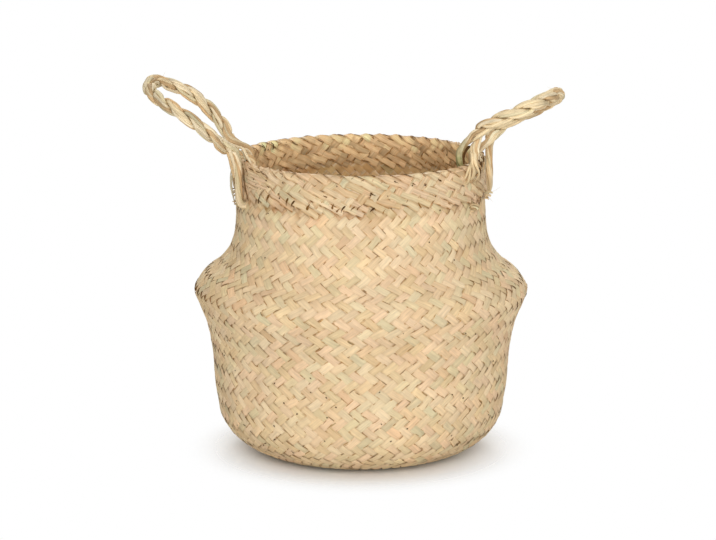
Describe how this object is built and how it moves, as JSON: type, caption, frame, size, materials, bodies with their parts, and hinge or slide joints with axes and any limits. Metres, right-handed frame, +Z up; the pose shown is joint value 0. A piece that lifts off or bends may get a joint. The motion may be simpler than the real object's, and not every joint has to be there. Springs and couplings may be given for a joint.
{
  "type": "belly basket",
  "caption": "Round plaited seagrass basket with a wide belly, a pinched neck, a border folded over the rim and two twisted rope loop handles.",
  "frame": {"origin": "centre of the flat base, on the surface that the basket stands on", "axes": "+Z up along the basket's axis, -Y towards the front, -X towards the left handle"},
  "size_m": [0.3128, 0.252, 0.284],
  "materials": {
    "plaited_seagrass": "natural seagrass strips, plaited, matt",
    "border_seagrass": "natural seagrass strips, folded over, matt",
    "rope_seagrass": "natural seagrass rope, two plies, matt"
  },
  "bodies": {
    "bowl": {"base_mat": "plaited_seagrass", "belly_wall": "plaited_seagrass", "shoulder_band": "plaited_seagrass"},
    "neck": {"neck_wall": "plaited_seagrass", "outer_rim_border": "border_seagrass", "inner_rim_border": "border_seagrass", "left_handle_front_outer_tail": "rope_seagrass", "left_handle_front_inner_tail": "rope_seagrass", "left_handle_rear_outer_tail": "rope_seagrass", "left_handle_rear_inner_tail": "rope_seagrass", "right_handle_front_outer_tail": "rope_seagrass", "right_handle_front_inner_tail": "rope_seagrass", "right_handle_rear_outer_tail": "rope_seagrass", "right_handle_rear_inner_tail": "rope_seagrass"},
    "left_handle": {"left_handle_rope_first_ply": "rope_seagrass", "left_handle_rope_second_ply": "rope_seagrass"},
    "right_handle": {"right_handle_rope_first_ply": "rope_seagrass", "right_handle_rope_second_ply": "rope_seagrass"}
  },
  "joints": [
    {"name": "neck_collapse", "type": "slide", "parent": "bowl", "child": "neck", "axis": [0, 0, -1], "range_m": [0, 0.06], "deforming": ["shoulder_band"]},
    {"name": "left_handle_swing", "type": "hinge", "parent": "neck", "child": "left_handle", "pos_m": [-0.09244, -0.00646, 0.2311], "axis": [-0.0698, 0.9976, 0], "range_deg": [-50, 90]},
    {"name": "right_handle_swing", "type": "hinge", "parent": "neck", "child": "right_handle", "pos_m": [0.08925, -0.01979, 0.2311], "axis": [-0.2164, -0.9763, 0], "range_deg": [-75, 60]}
  ]
}
